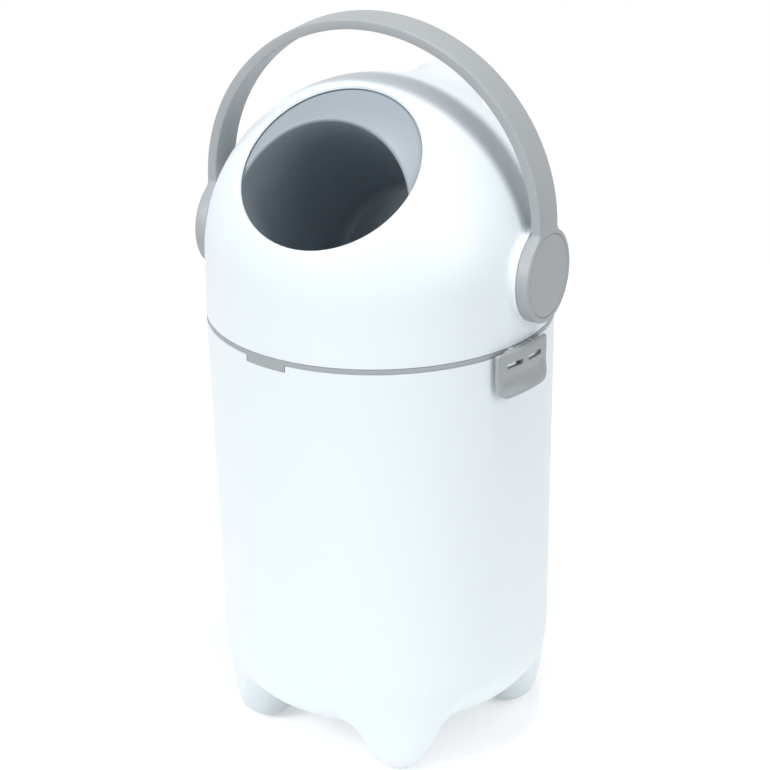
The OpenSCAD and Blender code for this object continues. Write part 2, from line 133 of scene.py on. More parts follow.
def moulded_skin_group():
    """The faint marks of moulded plastic: cloudy tone, uneven gloss and a fine orange peel."""
    group = bpy.data.node_groups.new("moulded_skin", "ShaderNodeTree")
    sockets = group.interface
    for title, kind, value in (
        ("Colour", "NodeSocketColor", (0.8, 0.8, 0.8, 1)),
        ("Tone", "NodeSocketColor", (0.7, 0.7, 0.7, 1)),
        ("Tone Amount", "NodeSocketFloat", 0.3), ("Cloud Scale", "NodeSocketFloat", 7.0),
        ("Gloss", "NodeSocketFloat", 0.35), ("Gloss Spread", "NodeSocketFloat", 0.08),
        ("Peel Scale", "NodeSocketFloat", 900.0),
    ):
        entry = sockets.new_socket(name=title, in_out="INPUT", socket_type=kind)
        entry.default_value = value
    sockets.new_socket(name="Colour", in_out="OUTPUT", socket_type="NodeSocketColor")
    sockets.new_socket(name="Roughness", in_out="OUTPUT", socket_type="NodeSocketFloat")
    sockets.new_socket(name="Height", in_out="OUTPUT", socket_type="NodeSocketFloat")
    node, link = group.nodes.new, group.links.new
    given, put = node("NodeGroupInput"), node("NodeGroupOutput")
    place = node("ShaderNodeTexCoord")
    cloud, streak, peel = (node("ShaderNodeTexNoise") for _ in range(3))
    cloud.inputs["Detail"].default_value = 3
    streak.inputs["Scale"].default_value = 55
    streak.inputs["Detail"].default_value = 4
    peel.inputs["Detail"].default_value = 2
    for noise in (cloud, streak, peel):
        link(place.outputs["Object"], noise.inputs["Vector"])
    link(given.outputs["Cloud Scale"], cloud.inputs["Scale"])
    link(given.outputs["Peel Scale"], peel.inputs["Scale"])
    amount = node("ShaderNodeMath")
    amount.operation = "MULTIPLY"
    link(cloud.outputs["Fac"], amount.inputs[0])
    link(given.outputs["Tone Amount"], amount.inputs[1])
    tone = node("ShaderNodeMix")
    tone.data_type = "RGBA"
    link(amount.outputs[0], tone.inputs["Factor"])
    link(given.outputs["Colour"], tone.inputs["A"])
    link(given.outputs["Tone"], tone.inputs["B"])
    link(tone.outputs["Result"], put.inputs["Colour"])
    uneven = node("ShaderNodeMath")
    uneven.operation = "SUBTRACT"
    link(streak.outputs["Fac"], uneven.inputs[0])
    uneven.inputs[1].default_value = 0.5
    gloss = node("ShaderNodeMath")
    gloss.operation = "MULTIPLY_ADD"
    link(uneven.outputs[0], gloss.inputs[0])
    link(given.outputs["Gloss Spread"], gloss.inputs[1])
    link(given.outputs["Gloss"], gloss.inputs[2])
    link(gloss.outputs[0], put.inputs["Roughness"])
    link(peel.outputs["Fac"], put.inputs["Height"])
    return group


moulded_skin = moulded_skin_group()


def plastic(name, colour, tone, tone_amount, gloss, spread, peel_scale, peel_depth):
    """A moulded plastic: the shared skin marks, feeding a plain shader."""
    material = bpy.data.materials.new(name)
    material.use_nodes = True
    nodes, link = material.node_tree.nodes, material.node_tree.links.new
    shader = nodes["Principled BSDF"]
    skin = nodes.new("ShaderNodeGroup")
    skin.node_tree = moulded_skin
    for title, value in (
        ("Colour", (*colour, 1)), ("Tone", (*tone, 1)), ("Tone Amount", tone_amount),
        ("Gloss", gloss), ("Gloss Spread", spread), ("Peel Scale", peel_scale),
    ):
        skin.inputs[title].default_value = value
    bump = nodes.new("ShaderNodeBump")
    bump.inputs["Strength"].default_value = 0.6
    bump.inputs["Distance"].default_value = peel_depth
    link(skin.outputs["Colour"], shader.inputs["Base Color"])
    link(skin.outputs["Roughness"], shader.inputs["Roughness"])
    link(skin.outputs["Height"], bump.inputs["Height"])
    link(bump.outputs["Normal"], shader.inputs["Normal"])
    shader.inputs["IOR"].default_value = 1.5
    return material


white_plastic = plastic("white_plastic", (0.85, 0.91, 0.94), (0.80, 0.87, 0.905),
                        0.35, 0.34, 0.10, 700, 0.00002)

# The bucket, the ring and the flaps stand a little round from the dome's own front.
bucket_turn = -11
rim_r, rim_h, base_r, corner_r, clear = 135.0, 349.0, 130.0, 48.0, 35.0
wall, flange_r, flange_t = 2.6, 126.5, 4.0
rim_in, rim_depth, rim_soft = 129.3, 11.0, 0.6
corner_z = clear + corner_r


def side_at(z):
    """The radius of the bucket's drafted side at a height."""
    return base_r + (rim_r - base_r) * (z - corner_z) / (rim_h - corner_z)


# Rows and rings of faces lie closer together where the feet are drawn out.
rows = list(range(87, 143, 4)) + [160, 190, 225, 260, 295, 318, 335]
rings = [15, 30, 40, 46, 50] + [50 + 2.5 * i for i in range(1, 13)]
outline = [(0, clear)] + [(r, clear) for r in rings]
outline += arc((base_r - corner_r, corner_z), corner_r, -90, 0, 24)
outline += [(side_at(z), z) for z in rows + [rim_h - rim_soft]]
outline += [(rim_r - rim_soft, rim_h), (flange_r, rim_h), (flange_r, rim_h - flange_t)]
outline += [(rim_in, rim_h - flange_t), (rim_in, rim_h - rim_depth)]
outline += [(side_at(z) - wall, z) for z in [rim_h - rim_depth] + rows[-2::-1]]
outline += arc((base_r - corner_r, corner_z), corner_r - wall, 0, -90, 24)
outline += [(r, clear + wall) for r in reversed(rings)] + [(0, clear + wall)]
bucket = turned("bucket", outline, 200, closed=False)


def smooth_min(a, b, reach):
    """The lesser of two distances, with a hollow blend where they are within reach of each other."""
    mix = min(max(0.5 + 0.5 * (b - a) / reach, 0), 1)
    return b + (a - b) * mix - reach * mix * (1 - mix)


def body_distance(p):
    """Distance to the plain bucket's outside, without its feet."""
    r = math.hypot(p.x, p.y)
    if p.z > corner_z:
        return r - side_at(p.z)
    if r < base_r - corner_r:
        return clear - p.z
    return math.hypot(r - base_r + corner_r, corner_z - p.z) - corner_r


foot_circle, foot_r, foot_flare, foot_edge, foot_lean = 98.0, 16.0, 0.5, 14.0, 10.5
foot_slant = math.hypot(1, foot_flare)
body_blend, side_blend = 8.0, 5.0


def foot_distance(p, axis):
    """Distance to a flared foot with a rounded sole, kept inside the drafted side."""
    from_axis = math.hypot(p.x - axis.x, p.y - axis.y)
    off_side = (from_axis - foot_r - foot_flare * p.z) / foot_slant + foot_edge
    off_sole = foot_edge - p.z
    past_edge = math.hypot(max(off_side, 0), max(off_sole, 0))
    foot = past_edge + min(max(off_side, off_sole), 0) - foot_edge
    return -smooth_min(-foot, -leaning_side(p), side_blend)


def leaning_side(p):
    """Distance to the bucket's side, which leans in below the bottom's rounding."""
    leaning = base_r - foot_lean * (1 - p.z / corner_z) if p.z < corner_z else side_at(p.z)
    return math.hypot(p.x, p.y) - leaning


def footed_body(p, axis):
    """Distance to the bucket's outside with one foot blended into it."""
    body = body_distance(p)
    blend = smooth_min(body, foot_distance(p, axis), body_blend)
    return max(blend, min(body, leaning_side(p)))


def drawn_out(point, heart, ray_end, halvings, inside):
    """Where the ray from a heart through a point leaves a shape, found by halving."""
    ray = (point - heart).normalized()
    near, far = 0.0, ray_end
    for _ in range(halvings):
        middle = (near + far) / 2
        if inside(heart + ray * middle):
            near = middle
        else:
            far = middle
    return heart + ray * near


# Each foot's surroundings are made finer and drawn out from a point inside the bucket.
heart_r, heart_z, finer_z, finer_reach, drawn_z, drawn_reach = 78, 118, 96, 44, 140, 75
for turn in (45, 135, 225, 315):
    outwards = Vector((math.cos(math.radians(turn)), math.sin(math.radians(turn)), 0))
    axis, heart = outwards * foot_circle, outwards * heart_r + Vector((0, 0, heart_z))
    only(bucket)
    bpy.ops.object.mode_set(mode="EDIT")
    bpy.ops.mesh.select_mode(type="FACE")
    bpy.ops.mesh.select_all(action="DESELECT")
    shape = bmesh.from_edit_mesh(bucket.data)
    for face in shape.faces:
        middle = face.calc_center_median() / MM
        near = middle.z < finer_z and (middle.xy - axis.xy).length < finer_reach
        face.select = near and body_distance(middle) > -wall / 2
    bmesh.update_edit_mesh(bucket.data)
    bpy.ops.mesh.subdivide(number_cuts=1)
    bpy.ops.object.mode_set(mode="OBJECT")
    for vertex in bucket.data.vertices:
        point = vertex.co / MM
        if point.z > drawn_z or (point.xy - axis.xy).length > drawn_reach:
            continue
        depth = wall if body_distance(point) < -wall / 2 else 0.0
        vertex.co = drawn_out(point, heart, 170.0, 26, lambda at: footed_body(at, axis) < -depth) * MM


def sector(name, outline, start, end, steps=12):
    """A closed part of a turned shape, between two angles from +X."""
    piece = turned(name, outline, steps, sweep=end - start)
    only(piece)
    bpy.ops.object.mode_set(mode="EDIT")
    bpy.ops.mesh.select_mode(type="EDGE")
    bpy.ops.mesh.select_all(action="DESELECT")
    bpy.ops.mesh.select_non_manifold()
    bpy.ops.mesh.fill_holes(sides=0)
    bpy.ops.mesh.select_all(action="SELECT")
    bpy.ops.mesh.normals_make_consistent(inside=False)
    bpy.ops.object.mode_set(mode="OBJECT")
    piece.data.transform(Matrix.Rotation(math.radians(end), 4, "Z"))
    return piece


# Two catch lugs pass through each flap's slots, and the ring's tab drops into a pocket in front.
lug_root, lug_r, lug_low, lug_top, lug_soft = 132, 139.8, 340.35, 343.05, 0.3
lug_shape = [(lug_root, lug_low), (lug_r - lug_soft, lug_low), (lug_r, lug_low + lug_soft),
             (lug_r, lug_top - lug_soft), (lug_r - lug_soft, lug_top), (lug_root, lug_top)]
lugs = []
for from_y, to_y in ((-20.1, -9.6), (3.9, 14.4)):
    start, end = (math.degrees(math.asin(y / lug_r)) for y in (from_y, to_y))
    lugs += [sector("lug", lug_shape, start, end), sector("lug", lug_shape, 180 - end, 180 - start)]
combine(bucket, lugs, "UNION")
pocket_in, pocket_low, pocket_half, front = 132.2, 343.8, 8.18, -90
pocket_shape = [(pocket_in, pocket_low), (rim_r + 1, pocket_low),
                (rim_r + 1, rim_h + 1), (pocket_in, rim_h + 1)]
tab_pocket = sector("tab_pocket", pocket_shape, front - pocket_half, front + pocket_half, 24)
combine(bucket, [tab_pocket], "DIFFERENCE")
bucket.data.transform(Matrix.Rotation(math.radians(bucket_turn), 4, "Z"))
fitted(bucket, "bucket", "bucket", white_plastic)


# ---- Clamp ring --------------------------------------------------------------------------
# One grey moulding that closes the gap between bucket and dome: a flat band, a spigot that
# drops inside the bucket's rim, a locating tab at the front and the ears of both flaps.

grey_plastic = plastic("grey_plastic", (0.385, 0.405, 0.42), (0.35, 0.37, 0.385),
                       0.5, 0.46, 0.10, 1100, 0.000015)

ring_z, ring_top, spigot_low, spigot_r, bore_r = 349.3, 353.3, 338.3, 125.93, 123.73
outline = [(123.7, 338.7), (124.1, spigot_low), (125.5, spigot_low), (spigot_r, 338.7), (spigot_r, ring_z)]
outline += [(134.6, ring_z), (rim_r, 349.6), (rim_r, 352.2), (134.8, 352.8), (134.3, 353.2)]
outline += [(133.7, ring_top), (124.1, ring_top), (bore_r, 353.0)]
seal_groove = [(bore_r, 352.5), (124.93, 352.5), (124.93, 350.1), (bore_r, 350.1)]
outline += seal_groove
ring = turned("ring", outline, 200)


def extruded(name, shape, low, high, edge=0.0, steps=3, open_top=False):
    """An outline in the XZ plane made thick along Y, with the edges of both its faces rounded."""
    mesh = bpy.data.meshes.new(name)
    mesh.from_pydata([(x * MM, low * MM, z * MM) for x, z in shape], [], [list(range(len(shape)))])
    piece = bpy.data.objects.new(name, mesh)
    bpy.context.collection.objects.link(piece)
    only(piece)
    bpy.ops.object.mode_set(mode="EDIT")
    bpy.ops.mesh.select_mode(type="EDGE")
    bpy.ops.mesh.select_all(action="SELECT")
    bpy.ops.mesh.extrude_region_move(TRANSFORM_OT_translate={"value": (0, (high - low) * MM, 0)})
    bpy.ops.mesh.select_all(action="SELECT")
    bpy.ops.mesh.normals_make_consistent(inside=False)
    if edge:
        solid = bmesh.from_edit_mesh(piece.data)
        top = max(v.co.z for v in solid.verts) - 0.000001
        for side in solid.edges:
            a, b = (v.co for v in side.verts)
            side.select = abs(a.y - b.y) < 0.000001 and not (open_top and min(a.z, b.z) > top)
        solid.select_flush_mode()
        bmesh.update_edit_mesh(piece.data)
        bpy.ops.mesh.bevel(offset=edge * MM, segments=steps, affect="EDGES")
    bpy.ops.object.mode_set(mode="OBJECT")
    return piece


def curved_slab(width, low, high, inner_r, outer_r, lower_corners, edge):
    """A slab that follows the rim, about -Y, with its two lower corners rounded by the given radii."""
    left, right = lower_corners
    half = width / 2
    shape = arc((-half + left, low + left), left, 180, 270, 6)
    shape += arc((half - right, low + right), right, 270, 360, 6)
    shape += [(half, high), (-half, high)]
    piece = extruded("slab", shape, -outer_r, -inner_r, edge)
    only(piece)
    bpy.ops.object.mode_set(mode="EDIT")
    for step in range(-8, 9):
        bpy.ops.mesh.select_all(action="SELECT")
        bpy.ops.mesh.bisect(plane_co=(step * half / 9 * MM, 0, 0), plane_no=(1, 0, 0))
    bpy.ops.object.mode_set(mode="OBJECT")
    for vertex in piece.data.vertices:
        angle, reach = vertex.co.x / MM / outer_r, -vertex.co.y
        vertex.co = (reach * math.sin(angle), -reach * math.cos(angle), vertex.co.z)
    return piece


tab_w, tab_low, tab_top, tab_in = 37, 344.1, 350.2, 132.5
tab = curved_slab(tab_w, tab_low, tab_top, tab_in, rim_r, (4.2, 0.6), 0.35)
hinge_r, hinge_z, knuckle_r, ear_y, ear_half = 137.6, 351.0, 2.2, 11.5, 2.5
ear_shape = [(132.5, 353.15), (132.5, 349.4)] + arc((hinge_r, hinge_z), knuckle_r, -47, 90, 14)
ears = []
for side in (0, 180):
    for along in (-ear_y, ear_y):
        ear = extruded("ear", ear_shape, along - ear_half, along + ear_half, 0.2, 2)
        ear.data.transform(Matrix.Rotation(math.radians(side), 4, "Z"))
        ears.append(ear)
combine(ring, [tab] + ears, "UNION")
ring.data.transform(Matrix.Rotation(math.radians(bucket_turn), 4, "Z"))
fitted(ring, "clamp_ring", "top", grey_plastic)


# ---- Drum --------------------------------------------------------------------------------
# The bluish grey drum is a hollow ball of two halves. The front half is moulded in one with
# the deep drafted cup that takes the nappy; the cup's mouth rolls over into the ball.

drum_plastic = plastic("drum_plastic", (0.335, 0.38, 0.42), (0.30, 0.345, 0.385),
                       0.5, 0.48, 0.08, 800, 0.00002)

joints = frame["record"]["behaviour"]["joints"]
pivot_z = next(j for j in joints if j["name"] == "rotor_turn")["pos_m"][2] / MM
PIVOT = Vector((0, 0, pivot_z))

drum_r, drum_wall, mouth_r, lip_r, mouth_tilt = 130.3, 2.6, 73.0, 2.5, 30.0
cup_floor, cup_draft, floor_round = 52.0, 4.4, 8.0
lip_at = (mouth_r + lip_r, math.sqrt((drum_r - lip_r) ** 2 - (mouth_r + lip_r) ** 2))
lip_turn = math.degrees(math.asin(lip_at[0] / (drum_r - lip_r)))
draft = math.radians(cup_draft)
cup_top = (lip_at[0] - lip_r * math.cos(draft), lip_at[1] + lip_r * math.sin(draft))
cup_depth = cup_top[1] + cup_floor - floor_round
floor_x = cup_top[0] - math.tan(draft) * cup_depth - floor_round / math.cos(draft)
floor_at = (floor_x, floor_round - cup_floor)
outline = arc((0, 0), drum_r, 0, 90 - lip_turn, 36)
outline += arc(lip_at, lip_r, 90 - lip_turn, 180 - cup_draft, 10)[1:]
wall_low = (floor_at[0] + floor_round * math.cos(draft), floor_at[1] - floor_round * math.sin(draft))
outline += [tuple(a + (b - a) * i / 12 for a, b in zip(cup_top, wall_low)) for i in range(1, 12)]
outline += arc(floor_at, floor_round, -cup_draft, -90, 8)
outline += [(floor_at[0] * f, -cup_floor) for f in (0.66, 0.33, 0)] + [(0, -cup_floor - drum_wall)]
outline += arc(floor_at, floor_round + drum_wall, -90, -cup_draft, 8)
back_x = cup_top[0] + drum_wall
back_z = math.sqrt((drum_r - drum_wall) ** 2 - back_x ** 2)
outline += [(back_x - 0.2, back_z - 2)]
outline += arc((0, 0), drum_r - drum_wall, math.degrees(math.atan2(back_z, back_x)), 0, 28)
shell = turned("shell", outline, 160)
aim = Matrix.Translation(PIVOT * MM) @ Matrix.Rotation(math.radians(90 - mouth_tilt), 4, "X")
shell.data.transform(aim)
fitted(shell, "rotor_shell", "rotor", drum_plastic)


# ---- Dome --------------------------------------------------------------------------------
# White half-ball over a short drafted collar. Its round opening is softly rounded,
# and a hump rises from the skin behind the crown. A flat round collar carries each bush.

dome_r, dome_wall, opening_r, opening_tilt, opening_soft = 134.4, 3.0, 72.8, 50.0, 1.1
opening_turn = math.degrees(math.asin(opening_r / dome_r))
outline = arc((0, 0), dome_r, 90 - opening_turn, -90, 64)
dome = turned("dome", outline, 144, closed=False)
aim = Matrix.Translation(PIVOT * MM) @ Matrix.Rotation(math.radians(90 - opening_tilt), 4, "X")
dome.data.transform(aim)
only(dome)
bpy.ops.object.mode_set(mode="EDIT")
bpy.ops.mesh.select_all(action="SELECT")
bpy.ops.mesh.bisect(plane_co=PIVOT * MM, plane_no=(0, 0, 1), clear_inner=True)
bpy.ops.mesh.select_all(action="SELECT")
bpy.ops.mesh.remove_doubles(threshold=0.0004)
bpy.ops.object.mode_set(mode="OBJECT")


def select_edges(piece, test, boundary=False):
    """Goes into edit mode with just the edges that pass a test on their two ends, in millimetres."""
    only(piece)
    bpy.ops.object.mode_set(mode="EDIT")
    bpy.ops.mesh.select_mode(type="EDGE")
    bpy.ops.mesh.select_all(action="DESELECT")
    shape = bmesh.from_edit_mesh(piece.data)
    for edge in shape.edges:
        if (edge.is_boundary or not boundary) and all(test(v.co / MM) for v in edge.verts):
            edge.select = True
    shape.select_flush(True)
    bmesh.update_edit_mesh(piece.data)


select_edges(dome, lambda p: abs(p.z - pivot_z) < 0.6, boundary=True)
shape = bmesh.from_edit_mesh(dome.data)
for edge in shape.edges:
    if edge.select:
        for vertex in edge.verts:
            flat = math.hypot(vertex.co.x, vertex.co.y)
            vertex.co = (vertex.co.x * dome_r * MM / flat, vertex.co.y * dome_r * MM / flat, pivot_z * MM)
bmesh.update_edit_mesh(dome.data)
skirt_rows, skirt_gap = 4, 0.3
drop = (pivot_z - ring_top - skirt_gap) / skirt_rows
for _ in range(skirt_rows):
    bpy.ops.mesh.extrude_edges_move(TRANSFORM_OT_translate={"value": (0, 0, -drop * MM)})
bpy.ops.object.mode_set(mode="OBJECT")
for vertex in dome.data.vertices:
    if vertex.co.z < (pivot_z - 1) * MM:
        r = dome_r + (rim_r - dome_r) * (pivot_z - vertex.co.z / MM) / (pivot_z - ring_top)
        flat = math.hypot(vertex.co.x, vertex.co.y)
        vertex.co.x *= r * MM / flat
        vertex.co.y *= r * MM / flat

# The hump: faces near it are made finer and drawn out over a ball with a wide hollow blend.
ball_at, ball_r, blend_w, heart = Vector((0, 112, 96)), 20.0, 50.0, Vector((0, 78, 58))
hump_at, hump_finer, hump_drawn = ball_at.normalized() * dome_r, 52, 80
only(dome)
bpy.ops.object.mode_set(mode="EDIT")
bpy.ops.mesh.select_mode(type="FACE")
bpy.ops.mesh.select_all(action="DESELECT")
shape = bmesh.from_edit_mesh(dome.data)
for face in shape.faces:
    middle = face.calc_center_median() / MM - PIVOT
    if (middle - hump_at).length < hump_finer:
        face.select = True
bmesh.update_edit_mesh(dome.data)
bpy.ops.mesh.subdivide(number_cuts=3)
bpy.ops.object.mode_set(mode="OBJECT")


def skin_distance(p):
    """Distance to the dome's skin with the hump blended into it, from the pivot."""
    ball = (p - ball_at).length - ball_r
    globe = p.length - dome_r
    mix = min(max(0.5 + 0.5 * (ball - globe) / blend_w, 0), 1)
    return ball * (1 - mix) + globe * mix - blend_w * mix * (1 - mix)


for vertex in dome.data.vertices:
    point = vertex.co / MM - PIVOT
    if (point - hump_at).length > hump_drawn or point.z < 2:
        continue
    vertex.co = (drawn_out(point, heart, 130.0, 28, lambda at: skin_distance(at) < 0) + PIVOT) * MM

only(dome)
skin = dome.modifiers.new("skin", "SOLIDIFY")
skin.thickness = dome_wall * MM
skin.offset = -1
skin.use_even_offset = False
bpy.ops.object.modifier_apply(modifier="skin")
opening_axis = Vector((0, -math.cos(math.radians(opening_tilt)), math.sin(math.radians(opening_tilt))))


def on_opening(p):
    """Whether a point lies on the outer edge of the dome's round opening."""
    q = p - PIVOT
    return abs(q.length - dome_r) < 0.3 and abs(q.angle(opening_axis) - math.radians(opening_turn)) < 0.004


select_edges(dome, on_opening)
bpy.ops.mesh.bevel(offset=opening_soft * MM, segments=4, affect="EDGES")
bpy.ops.object.mode_set(mode="OBJECT")

def on_hub(side, name, outline, steps=120):
    """A turned piece laid along the hubs' axis, on the left (-1) or the right (1)."""
    piece = turned(name, outline, steps, closed=False)
    piece.data.transform(Matrix.Translation(PIVOT * MM) @ Matrix.Rotation(side * math.pi / 2, 4, "Y"))
    return piece


def plug(radius, low, high):
    """The outline of a plain round plug between two distances from the middle."""
    return [(0, low), (radius, low), (radius, high), (0, high)]


collar_foot, collar_r, collar_out, recess_r, recess_floor, axle_r = 118, 37, 134.7, 23.05, 133.5, 20.55
collar_shape = [(0, collar_foot), (43.5, collar_foot), (42, 126.2), (40, 128.2), (38.6, 129.3), (37.6, 130.3)]
collar_shape += [(37.1, 131.4), (collar_r, 132.5), (collar_r, 134.1), (36.8, 134.5), (36.4, collar_out)]
collar_shape += [(recess_r, collar_out), (recess_r, recess_floor), (0, recess_floor)]
combine(dome, [on_hub(side, "collar", collar_shape, 96) for side in (-1, 1)], "UNION")
bores = [on_hub(side, "bore", plug(axle_r, 100, 140), 64) for side in (-1, 1)]
bpy.ops.object.select_all(action="DESELECT")
bpy.ops.mesh.primitive_uv_sphere_add(segments=96, ring_count=64, radius=(dome_r - dome_wall) * MM)
hollow = bpy.context.active_object
hollow.data.transform(Matrix.Translation(PIVOT * MM))
combine(dome, [hollow] + bores, "DIFFERENCE")
fitted(dome, "dome", "top", white_plastic, 35)


# ---- Handle ------------------------------------------------------------------------------
# One grey moulding: a flat band bent into a half circle over two straight arms, each running
# with a small hollow fillet into a thick round hub. The band's edges are softly rounded.

band_w, band_t, arm_h, hub_r, hub_in, hub_out = 29.4, 8.0, 38.0, 36.3, 135.0, 145.0
fillet, edge = 7.4, 1.3
fillet_y = band_w / 2 + fillet
fillet_z = math.sqrt((hub_r + fillet) ** 2 - fillet_y ** 2)
meet = math.degrees(math.atan2(fillet_z, fillet_y))
paddle_shape = arc((fillet_y, fillet_z), fillet, 180 + meet, 180, 8)
paddle_shape += [(band_w / 2, arm_h), (-band_w / 2, arm_h)]
paddle_shape += arc((-fillet_y, fillet_z), fillet, 0, -meet, 8)
paddle_shape += arc((0, 0), hub_r, 180 - meet, 360 + meet, 84)[1:-1]


def open_arm_end(piece, level):
    """Removes the face that closes an arm at a level, so that the next length can join on."""
    solid = bmesh.new()
    solid.from_mesh(piece.data)
    ends = [f for f in solid.faces if all(abs(v.co.z - level * MM) < 0.000002 for v in f.verts)]
    bmesh.ops.delete(solid, geom=ends, context="FACES_ONLY")
    solid.to_mesh(piece.data)
    solid.free()


paddles = []
for side in (-1, 1):
    ends = sorted((side * (hub_out - band_t), side * hub_out))
    paddle = extruded("paddle", paddle_shape, ends[0], ends[1], edge, 4, open_top=True)
    paddle.data.transform(Matrix.Rotation(math.pi / 2, 4, "Z"))
    open_arm_end(paddle, arm_h)
    paddles.append(paddle)

section = []
outer, inner, flank = hub_out - edge, hub_out - band_t + edge, band_w / 2 - edge
for cx, cy, start in ((outer, flank, 0), (inner, flank, 90), (inner, -flank, 180), (outer, -flank, 270)):
    section += arc((cx, cy), edge, start, start + 90, 4)
mesh = bpy.data.meshes.new("band")
mesh.from_pydata([(x * MM, y * MM, arm_h * MM) for x, y in section],
                 [(i, (i + 1) % len(section)) for i in range(len(section))], [])
handle = bpy.data.objects.new("band", mesh)
bpy.context.collection.objects.link(handle)
only(handle)
bpy.ops.object.mode_set(mode="EDIT")
bpy.ops.mesh.select_all(action="SELECT")
bpy.ops.mesh.spin(steps=96, angle=math.pi, center=(0, 0, arm_h * MM), axis=(0, 1, 0))
bpy.ops.object.mode_set(mode="OBJECT")
for paddle in paddles:
    paddle.select_set(True)
bpy.ops.object.join()
bpy.ops.object.mode_set(mode="EDIT")
bpy.ops.mesh.select_all(action="SELECT")
bpy.ops.mesh.remove_doubles(threshold=0.00002)
bpy.ops.mesh.normals_make_consistent(inside=False)
bpy.ops.object.mode_set(mode="OBJECT")
handle.data.transform(Matrix.Translation(PIVOT * MM))

# Each hub is thicker than the band, towards the dome.
disc_soft, disc_end = 0.8, hub_out - 3
disc_shape = [(0, hub_in)] + arc((hub_r - 0.85, hub_in + disc_soft), disc_soft, -90, 0, 4)
disc_shape += [(hub_r - 0.05, disc_end), (0, disc_end)]
combine(handle, [on_hub(side, "disc", disc_shape) for side in (-1, 1)], "UNION")

# The cap's seat with its bevelled mouth, then the wells for the screw and the axle's square drive.
cap_r, cap_t, seat_floor, seat_gap, seat_mouth = 31.9, 2.8, 142.0, 0.25, 0.6
seat_shape = [(0, seat_floor), (cap_r + seat_gap, seat_floor), (cap_r + seat_gap, hub_out - 0.3)]
seat_shape += [(cap_r + seat_mouth, hub_out + 0.2), (cap_r + seat_mouth, hub_out + 2), (0, hub_out + 2)]
well_r, well_floor, neck_r, neck_floor, drive_half, drive_end = 4.8, 139.9, 2.1, 138.5, 12, 139.0
seats = []
for side in (-1, 1):
    seat = on_hub(side, "seat", seat_shape)
    well = on_hub(side, "well", plug(well_r, well_floor, seat_floor + 0.5), 48)
    drive = block((134, -drive_half, -drive_half), (drive_end, drive_half, drive_half))
    drive.data.transform(Matrix.Translation(PIVOT * MM) @ Matrix.Rotation(0 if side > 0 else math.pi, 4, "Z"))
    neck = on_hub(side, "neck", plug(neck_r, neck_floor, well_floor + 0.6), 32)
    seats += [seat, well, drive, neck]
combine(handle, seats, "DIFFERENCE")
fitted(handle, "handle", "rotor", grey_plastic)


# ---- Hub caps ----------------------------------------------------------------------------
# A thin grey disc pressed into each hub over its screw. The groove around it is a hair's width.

cap_under, cap_face, cap_soft = hub_out - cap_t + 0.1, hub_out - 0.05, 0.5
for side, name in ((-1, "hub_cap_left"), (1, "hub_cap_right")):
    outline = [(0, cap_under), (cap_r - 0.2, cap_under), (cap_r, cap_under + 0.2)]
    outline += arc((cap_r - cap_soft, cap_face - cap_soft), cap_soft, 0, 80, 4)
    outline += [(r, cap_face) for r in (30, 22, 15, 8, 0)]
    cap = on_hub(side, name, outline)
    fitted(cap, name, "rotor", grey_plastic)


# ---- Latch flaps -------------------------------------------------------------------------
# Grey moulded flaps that hang from pins at the clamp ring. Each is curved with the bucket, has
# two slots that snap over the catch lugs, and a dished lower part that flares out for a finger.

flap_w, flap_top, flap_low, flap_face = 59.0, 353.1, 316.5, 141.8
flap_t, big_corner, small_corner = 2.9, 9.5, 3.0
cut_in, cut_out = 130, 150
slot_z, slot_x, slot_w, slot_h, slot_corner = 341.6, 12.0, 17.0, 4.2, 0.5
roll_in, roll_h, flare_out, flare_back, dish = 1.3, 3.0, 1.7, 0.5, 2.1
dish_top, edge_soft = 338, 0.45
knuckle_w, web_low, web_top, web_out = 40, 348.9, 351.1, 140.4
pin_r, room_r, room_w, room_half, room_out = 0.95, 2.35, 6.0, 3.2, 139.75


def ramp(value, start, end):
    """A soft step from 0 to 1 while a value runs from a start to an end."""
    t = min(max((value - start) / (end - start), 0), 1)
    return t * t * (3 - 2 * t)


def face_reach(u, z):
    """How far out the flap's face lies at a place u along it and at a height z."""
    down = (flap_top - z) / (flap_top - flap_low)
    roll = flap_face - roll_in * max(0, 1 - (flap_top - z) / roll_h) ** 2
    flare = flare_out * ramp(down, 0.55, 1) - flare_back * ramp(down, 0.3, 0.55)
    off_edges = ramp(flap_w / 2 - abs(u), 2.2, 6.2) * ramp(z - flap_low, 1.8, 7.8)
    return roll + flare - dish * (off_edges * ramp(dish_top - z, 0, 9))


def hinge_rod(radius, length, at=0.0, sides=48):
    """A rod along the flap's hinge line, with its middle at a place along it."""
    bpy.ops.object.select_all(action="DESELECT")
    bpy.ops.mesh.primitive_cylinder_add(vertices=sides, radius=radius * MM, depth=length * MM)
    rod = bpy.context.active_object
    middle = Matrix.Translation((hinge_r * MM, at * MM, hinge_z * MM))
    rod.data.transform(middle @ Matrix.Rotation(math.pi / 2, 4, "X"))
    return rod


